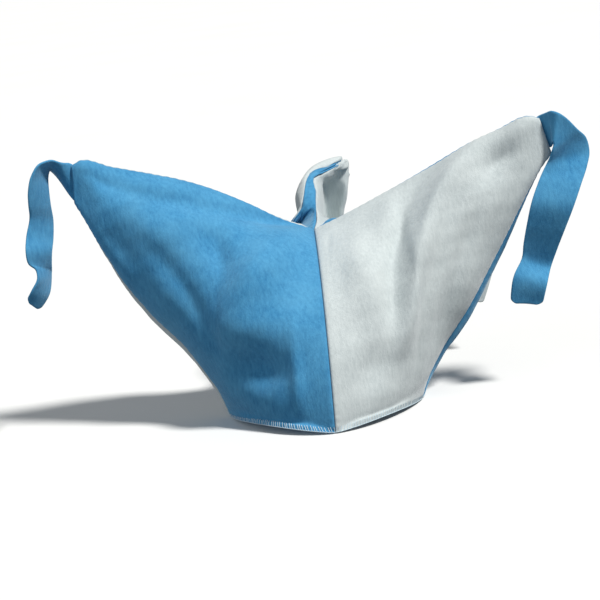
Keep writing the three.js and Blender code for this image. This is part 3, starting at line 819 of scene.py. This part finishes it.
def with_allowance(panel):
    """The net with its seam allowances, and the first column that has one below."""
    core = panel["outside"]
    columns, rows = core.shape[:2]
    full = np.zeros((allowance + columns, rows + 2 * allowance, 3))
    full[allowance:, allowance:-allowance] = core
    places = seam_places(panel)
    foot = places[("under", panel["horn"])][0].start
    inside = {}
    for key, place in places.items():
        seam = seams[key]
        next_rows = {
            "valley": (1, slice(None)),
            "ridge": (slice(None), -2),
            "under": (slice(foot, None), 1),
        }
        tangent = np.gradient(seam["points"], axis=0)
        across = unit(np.cross(tangent, seam["inward"]))
        into_panel = panel["net"][next_rows[key[0]]] - seam["points"]
        side = np.sign(np.sum(across * into_panel, axis=1, keepdims=True))
        groove = seam["groove"][:, None]
        edge = seam["points"] + across * side * seam_play + seam["inward"] * groove
        inside[key[0]] = (edge, seam["inward"])
    for step, depth in enumerate(allowance_depths, start=1):
        edge, inward = inside["ridge"]
        full[allowance:, -allowance - 1 + step] = edge + inward * depth
        edge, inward = inside["under"]
        full[allowance + foot:, allowance - step] = edge + inward * depth
        edge, inward = inside["valley"]
        full[allowance - step, allowance:-allowance] = edge + inward * depth
    full[allowance:, -allowance - 1] = inside["ridge"][0]
    full[allowance + foot:, allowance] = inside["under"][0]
    full[allowance, allowance:-allowance] = inside["valley"][0]
    top = full[allowance, -allowance - 1].copy()
    for i in range(allowance):
        for j in range(allowance):
            depth = allowance_depths[max(i, j)]
            full[allowance - 1 - i, rows + allowance + j] = top + crown_inward * depth
    return full, allowance + foot


def cloth_mesh(name, panel):
    """A flat grid with each vertex carried to its place on the hat."""
    full, foot = with_allowance(panel)
    columns, rows = full.shape[:2]
    cut = bmesh.new()
    bmesh.ops.create_grid(cut, x_segments=columns - 1, y_segments=rows - 1, size=1.0)
    # The near_seam layer holds how near each point is to a seam. The fleece material uses it to paint
    # shade into the seam grooves.
    seam_shade_layer = cut.verts.layers.float.new("near_seam")
    lost = []
    for vertex in cut.verts:
        i = round((vertex.co.x + 1) / 2 * (columns - 1))
        j = round((vertex.co.y + 1) / 2 * (rows - 1))
        if j < allowance and i < foot:
            lost.append(vertex)
            continue
        vertex.co = full[i, j]
        a, b = max(i - allowance, 0), min(max(j - allowance, 0), rows - 2 * allowance - 1)
        vertex[seam_shade_layer] = math.exp(-panel["seam_gap"][a, b] / (2.5 * MM))
    bmesh.ops.delete(cut, geom=lost, context="VERTS")
    if panel["facing"] < 0:
        bmesh.ops.reverse_faces(cut, faces=cut.faces)
    for face in cut.faces:
        face.smooth = True
    mesh = bpy.data.meshes.new(name)
    cut.to_mesh(mesh)
    cut.free()
    return mesh


for name, panel in panels.items():
    piece = new_object(name + "_cloth", cloth_mesh(name + "_cloth", panel))
    wall = piece.modifiers.new("thickness", "SOLIDIFY")
    wall.thickness = cloth_thickness
    wall.offset = -1.0
    panel["piece"] = piece
    print(piece.name, len(piece.data.vertices), "vertices")

# %% [markdown]
# ## The strips at the ends of the horns
#
# Each strip is a single layer of fleece, cut about 30 mm wide, with soft rounded corners. One
# end is caught in the horn's last seam. From there it stands up a little, falls over and
# hangs, and it curls a little along its edges, as cut fleece does. A strip is described by
# its two long edges: pairs of points as the photograph shows them, with a depth chosen for
# each. The back strip is hidden but for a sliver, so most of it is guessed.

# %% Strips
strip_thickness = 2.0 * MM
strip_curl = 1.2 * MM
strip_corner = 5.0 * MM
strip_steps = 84
strip_rows = 12

# flat width and length, and both edges from the sewn end: (x, y, z) of each, in millimetres
tails = {
    "left": {
        "cloth": "blue",
        "flat": (29 * MM, 160 * MM),
        "edges": [
            ((-183, -20, 227), (-184, -20, 200.5)),
            ((-187.5, -20, 231), (-187.5, -20, 198.5)),
            ((-192.5, -24, 232.5), (-192.5, -17, 204.5)),
            ((-197, -29, 234.5), (-198, -13, 214)),
            ((-201.5, -33, 236.5), (-203, -10, 221.5)),
            ((-205, -37, 236.5), (-206, -11, 225.5)),
            ((-210, -41, 235.5), (-206.5, -14, 225.5)),
            ((-216.5, -44, 228), (-207.5, -18, 221)),
            ((-221.5, -44, 215), (-208, -21, 210)),
            ((-223.5, -41, 202.5), (-208.5, -19, 197.5)),
            ((-225, -36, 190.5), (-209, -13, 184)),
            ((-229, -39, 178), (-210.5, -16, 170.5)),
            ((-230.5, -45, 166.5), (-212.5, -22, 159.5)),
            ((-230, -43, 155), (-215, -17, 148)),
            ((-225, -39, 149), (-217, -10, 140)),
            ((-224.5, -40, 142.5), (-218, -11, 133.5)),
            ((-230.5, -41, 133), (-220, -18, 124)),
            ((-237.5, -37, 123.5), (-230, -22, 111)),
        ],
    },
    "right": {
        "cloth": "blue",
        "flat": (32 * MM, 189 * MM),
        "edges": [
            ((192, -20, 222), (202, -20, 200.5)),
            ((197.5, -20, 226), (206.5, -20, 199)),
            ((204.5, -25, 229), (208, -24, 202.5)),
            ((209.5, -31, 230.5), (207.5, -30, 205)),
            ((212, -32, 229.5), (207.5, -31, 204.5)),
            ((219.5, -29, 223.5), (207, -31, 202)),
            ((228.5, -24, 213), (205.5, -31, 198.5)),
            ((236.5, -17, 204.5), (204, -29, 194)),
            ((239, -15, 192), (202, -26, 189)),
            ((235, -21, 180), (197, -27, 181)),
            ((228, -29, 167.5), (191.5, -31, 172)),
            ((219.5, -34, 150.5), (184.5, -35, 158)),
            ((212, -30, 133), (180, -31, 140.5)),
            ((205, -22, 114.5), (176.5, -24, 122)),
            ((199, -18, 99), (174.5, -21, 109.5)),
            ((193.5, -27, 87), (165.5, -28, 96.5)),
            ((188.5, -23, 68), (161, -24, 73)),
        ],
    },
    "back": {
        "cloth": "white",
        "flat": (30 * MM, 127 * MM),
        "edges": [
            ((108, 150.5, 125), (107, 153.5, 98.5)),
            ((111, 151, 124.5), (116, 153, 98.5)),
            ((123.5, 151, 129.5), (132.5, 150, 101.5)),
            ((142.5, 149.5, 135.5), (141, 141.5, 105.5)),
            ((164, 141.5, 127.5), (144, 134, 107)),
            ((173.5, 131, 108), (143.5, 126.5, 105.5)),
            ((170.5, 121.5, 88), (141.5, 118.5, 96)),
            ((163.5, 116, 68), (136, 113, 82)),
            ((153, 113, 43), (128, 111, 62)),
        ],
    },
}


def strip_points(tail):
    """Rows of points across a strip, from its sewn end to its rounded free end."""
    edges = np.array(tail["edges"], float) * MM
    shares = share_of_length(edges.mean(axis=1))
    share = np.linspace(0, 1, strip_steps + 1)
    outer, inner = smooth(shares, edges.reshape(-1, 6), share).reshape(-1, 2, 3).transpose(1, 0, 2)
    centre, wide = (outer + inner) / 2, unit(outer - inner)
    half = np.linalg.norm(outer - inner, axis=1) / 2
    thick = np.cross(unit(np.gradient(centre, axis=0)), wide)
    to_end = (1 - share) * np.sum(np.linalg.norm(np.diff(centre, axis=0), axis=1))
    rounding = np.sqrt(np.maximum(0, 1 - np.clip(1 - to_end / strip_corner, 0, 1) ** 2))
    half = half - strip_corner * (1 - rounding)
    side = np.linspace(-1, 1, strip_rows + 1)
    curl = strip_curl * (side**2 - 0.35)
    points = centre[:, None] + wide[:, None] * (half[:, None] * side)[..., None]
    return points + thick[:, None] * (curl[None, :, None] * np.minimum(1, 6 * share)[:, None, None])


for name, tail in tails.items():
    points = strip_points(tail)
    cut = bmesh.new()
    bmesh.ops.create_grid(cut, x_segments=strip_steps, y_segments=strip_rows, size=1.0)
    for vertex in cut.verts:
        i = round((vertex.co.x + 1) / 2 * strip_steps)
        j = round((vertex.co.y + 1) / 2 * strip_rows)
        vertex.co = points[i, j]
    for face in cut.faces:
        face.smooth = True
    mesh = bpy.data.meshes.new(name + "_strip")
    cut.to_mesh(mesh)
    cut.free()
    piece = new_object(name + "_strip", mesh)
    wall = piece.modifiers.new("thickness", "SOLIDIFY")
    wall.thickness = strip_thickness
    wall.offset = 0.0
    rounder = piece.modifiers.new("soft_edges", "SUBSURF")
    rounder.levels = rounder.render_levels = 1
    tail["piece"] = piece
    print(piece.name, len(mesh.vertices), "vertices")

# %% [markdown]
# ## Overlock stitches
#
# An overlock machine wraps the raw brim in thread: short bars on the outside, one every
# 2.4 mm, that go over the edge and up again on the inside, and a chain of loops along the
# edge that holds them. Each bar is a thin curve with a round bevel. All curves of the brim
# are turned into one mesh.

# %% Overlock stitches
stitch_pitch = 2.4 * MM
stitch_height = 4.6 * MM
thread_radius = 0.27 * MM


def brim_frames(panel):
    """Along the brim: a function from a length and a height to a point and its outward direction, and
    the brim's length.
    """
    foot = seam_places(panel)[("under", panel["horn"])][0].start
    core = panel["outside"][: foot + 1, :16]
    edge = core[:, 0]
    lengths = np.linalg.norm(np.diff(edge, axis=0), axis=1)
    travelled = np.concatenate([[0], np.cumsum(lengths)])
    steps_up = np.linalg.norm(np.diff(core, axis=1), axis=2)
    climb = np.concatenate([np.zeros((len(edge), 1)), np.cumsum(steps_up, axis=1)], axis=1)
    normals = normals_of(panel["outside"], panel["facing"])[: foot + 1, :16]

    def read(length, up):
        i = np.clip(np.searchsorted(travelled, length) - 1, 0, len(edge) - 2)
        share = (length - travelled[i]) / max(lengths[i], 1e-9)
        result = []
        for table in (core, normals):
            pair = [
                np.array([np.interp(up, climb[c], table[c, :, axis]) for axis in range(3)])
                for c in (i, i + 1)
            ]
            result.append(pair[0] * (1 - share) + pair[1] * share)
        return result[0], unit(result[1])

    return read, travelled[-1]


def add_thread(curve, points):
    spline = curve.splines.new("POLY")
    spline.points.add(len(points) - 1)
    for place, point in zip(spline.points, points):
        place.co = (*point, 1.0)


stitches = bpy.data.curves.new("brim_stitches", "CURVE")
stitches.dimensions = "3D"
stitches.bevel_depth = thread_radius
stitches.bevel_resolution = 1
bar_count = 0
down = np.array([0, 0, -1.0])
for panel in panels.values():
    read, total = brim_frames(panel)
    count = int(total / stitch_pitch)
    chain = []
    for n in range(count):
        start = (n + 0.5) * total / count
        wobble = 0.12 * stitch_pitch * math.sin(2.3 * n)
        wobble += 0.1 * stitch_pitch * math.sin(5.1 * n + 1)
        tall = stitch_height * (1 + 0.07 * math.sin(1.7 * n))
        bar = []
        for up, lean in ((1.0, 0.28), (0.75, 0.2), (0.45, 0.1), (0.2, 0.02)):
            point, out = read(start + wobble + lean * stitch_pitch, up * tall)
            bar.append(point + out * 0.6 * thread_radius)
        point, out = read(start + wobble, 0.02 * MM)
        bar.append(point + down * 0.5 * thread_radius - out * 0.2 * cloth_thickness)
        bar.append(point + down * 0.5 * thread_radius - out * 0.9 * cloth_thickness)
        for up, lean in ((0.3, 0.0), (0.65, 0.05), (1.0, 0.1)):
            point, out = read(start + wobble - lean * stitch_pitch, up * tall)
            bar.append(point - out * (cloth_thickness + 0.6 * thread_radius))
        add_thread(stitches, bar)
        bar_count += 1
        for share, sag in ((0.0, 0.5), (0.25, 1.0), (0.5, 0.5), (0.75, 0.1)):
            spot = min(start + wobble + (share - 0.5) * stitch_pitch, total)
            point, out = read(max(spot, 0), 0.3 * MM)
            aside = out * (0.35 + 0.35 * sag) * thread_radius * 2
            chain.append(point + aside + down * thread_radius * (0.9 - sag))
    add_thread(stitches, chain)

bound = bpy.data.objects.new("brim_stitches_curve", stitches)
bpy.context.scene.collection.objects.link(bound)
bpy.context.view_layer.update()
evaluated = bound.evaluated_get(bpy.context.evaluated_depsgraph_get())
stitch_mesh = bpy.data.meshes.new_from_object(evaluated)
bpy.data.objects.remove(bound)
bpy.data.curves.remove(stitches)
stitch_mesh.name = "brim_stitches"
stitch_mesh.materials.clear()
brim_stitches = new_object("brim_stitches", stitch_mesh)
for polygon in stitch_mesh.polygons:
    polygon.use_smooth = True
print("overlock bars:", bar_count, "faces:", len(stitch_mesh.polygons))

# %% [markdown]
# ## Fleece
#
# Brushed fleece is a knit whose face has been combed into a short dense pile. Close up it
# is a felt of fine fibres, lying mostly one way, with small tufts. From further off it has
# soft clouds of lighter and darker nap. It has no gloss, but its fibres catch light at
# grazing angles, which the sheen of the shader gives.

# %% Fleece materials
def node(tree, kind, **settings):
    made = tree.nodes.new(kind)
    for key, value in settings.items():
        setattr(made, key, value)
    return made


def noise(tree, vector, scale, detail, roughness=0.55):
    made = node(tree, "ShaderNodeTexNoise")
    made.inputs["Scale"].default_value = scale
    made.inputs["Detail"].default_value = detail
    made.inputs["Roughness"].default_value = roughness
    tree.links.new(vector, made.inputs["Vector"])
    return made.outputs["Fac"]


def stretched(tree, coordinates, scale):
    made = node(tree, "ShaderNodeMapping")
    made.inputs["Scale"].default_value = scale
    tree.links.new(coordinates, made.inputs["Vector"])
    return made.outputs["Vector"]


def math_node(tree, operation, first, second):
    made = node(tree, "ShaderNodeMath", operation=operation)
    for socket, value in zip(made.inputs, (first, second)):
        if isinstance(value, (int, float)):
            socket.default_value = value
        else:
            tree.links.new(value, socket)
    return made.outputs["Value"]


def mixed(tree, share, first, second):
    made = node(tree, "ShaderNodeMix", data_type="RGBA")
    share_input, first_input, second_input = (made.inputs[i] for i in (0, 6, 7))
    for socket, value in ((share_input, share), (first_input, first), (second_input, second)):
        if isinstance(value, bpy.types.NodeSocket):
            tree.links.new(value, socket)
        else:
            socket.default_value = value
    return made.outputs[2]


def srgb(red, green, blue):
    def linear(c):
        c /= 255
        return c / 12.92 if c <= 0.04045 else ((c + 0.055) / 1.055) ** 2.4

    return (linear(red), linear(green), linear(blue), 1.0)


def fleece(name, deep, body, tip, sheen):
    """Brushed fleece from four colours: between the fibres, the pile, its tips and its sheen."""
    material = bpy.data.materials.new(name)
    material.use_nodes = True
    tree = material.node_tree
    shader = tree.nodes["Principled BSDF"]
    place = node(tree, "ShaderNodeTexCoord").outputs["Object"]
    lying = stretched(tree, place, (1.0, 1.0, 0.25))
    clouds = noise(tree, place, 38, 3)
    tufts = noise(tree, lying, 420, 3, 0.6)
    fibres = noise(tree, lying, 1900, 2, 0.7)
    coarse_pile = math_node(tree, "MULTIPLY", tufts, 0.6)
    fine_pile = math_node(tree, "MULTIPLY", fibres, 0.4)
    pile = math_node(tree, "ADD", coarse_pile, fine_pile)
    ramp = node(tree, "ShaderNodeValToRGB")
    ramp.color_ramp.elements[0].position = 0.3
    ramp.color_ramp.elements[1].position = 0.7
    ramp.color_ramp.elements[0].color = deep
    ramp.color_ramp.elements[1].color = body
    tree.links.new(pile, ramp.inputs["Fac"])
    cloud_share = node(tree, "ShaderNodeMapRange")
    cloud_share.inputs["From Min"].default_value = 0.35
    cloud_share.inputs["From Max"].default_value = 0.7
    cloud_share.inputs["To Max"].default_value = 0.35
    tree.links.new(clouds, cloud_share.inputs["Value"])
    colour = mixed(tree, cloud_share.outputs["Result"], ramp.outputs["Color"], tip)
    # Painted shade: the colour darkens towards the deep colour near the seams, where the grooves lie in
    # shade.
    seam_shade = node(tree, "ShaderNodeAttribute", attribute_name="near_seam").outputs["Fac"]
    colour = mixed(tree, math_node(tree, "MULTIPLY", seam_shade, 0.3), colour, deep)
    tree.links.new(colour, shader.inputs["Base Color"])
    rough = node(tree, "ShaderNodeMapRange")
    rough.inputs["To Min"].default_value = 0.86
    rough.inputs["To Max"].default_value = 1.0
    tree.links.new(pile, rough.inputs["Value"])
    tree.links.new(rough.outputs["Result"], shader.inputs["Roughness"])
    shader.inputs["Specular IOR Level"].default_value = 0.15
    shader.inputs["Sheen Weight"].default_value = 0.45
    shader.inputs["Sheen Roughness"].default_value = 0.45
    shader.inputs["Sheen Tint"].default_value = sheen
    bump = node(tree, "ShaderNodeBump")
    bump.inputs["Strength"].default_value = 0.55
    bump.inputs["Distance"].default_value = 0.0011
    tree.links.new(pile, bump.inputs["Height"])
    tree.links.new(bump.outputs["Normal"], shader.inputs["Normal"])
    return material


cloths = {
    "blue": fleece(
        "blue_fleece_pile",
        deep=srgb(46, 116, 164),
        body=srgb(80, 156, 200),
        tip=srgb(104, 176, 214),
        sheen=srgb(196, 226, 242),
    ),
    "white": fleece(
        "white_fleece_pile",
        deep=srgb(180, 189, 190),
        body=srgb(206, 214, 214),
        tip=srgb(220, 227, 226),
        sheen=srgb(245, 248, 250),
    ),
}

thread = bpy.data.materials.new("overlock_thread")
thread.use_nodes = True
tree = thread.node_tree
shader = tree.nodes["Principled BSDF"]
place = node(tree, "ShaderNodeTexCoord").outputs["Object"]
strands = noise(tree, stretched(tree, place, (1.0, 1.0, 0.5)), 2600, 2)
strand_colour = mixed(tree, strands, srgb(176, 206, 222), srgb(226, 236, 240))
tree.links.new(strand_colour, shader.inputs["Base Color"])
shader.inputs["Roughness"].default_value = 0.7
shader.inputs["Sheen Weight"].default_value = 0.3
bump = node(tree, "ShaderNodeBump")
bump.inputs["Strength"].default_value = 0.4
bump.inputs["Distance"].default_value = 0.0002
tree.links.new(strands, bump.inputs["Height"])
tree.links.new(bump.outputs["Normal"], shader.inputs["Normal"])

plaster = bpy.data.materials.new("pale_floor")
plaster.use_nodes = True
tree = plaster.node_tree
shader = tree.nodes["Principled BSDF"]
place = node(tree, "ShaderNodeTexCoord").outputs["Object"]
patches = noise(tree, place, 3, 3)
floor_colour = mixed(tree, patches, srgb(236, 236, 234), srgb(242, 242, 241))
tree.links.new(floor_colour, shader.inputs["Base Color"])
shader.inputs["Roughness"].default_value = 0.75
floor_mesh.materials.append(plaster)

for panel in panels.values():
    panel["piece"].data.materials.append(cloths[panel["cloth"]])
for tail in tails.values():
    tail["piece"].data.materials.append(cloths[tail["cloth"]])
stitch_mesh.materials.append(thread)
print("materials:", sorted(material.name for material in bpy.data.materials))

# %% [markdown]
# ## What each piece stands for
#
# Every piece moves with the hat's only body. Each cloth piece takes the place of the plain solid that
# holds its room in the model, which is hidden.

# %% Pieces on the hat's body
for name, panel in panels.items():
    piece = panel["piece"]
    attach(piece, "root")
    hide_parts(name + "_panel")
for name, tail in tails.items():
    piece = tail["piece"]
    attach(piece, "root")
    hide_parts(name + "_tail")
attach(brim_stitches, "root")
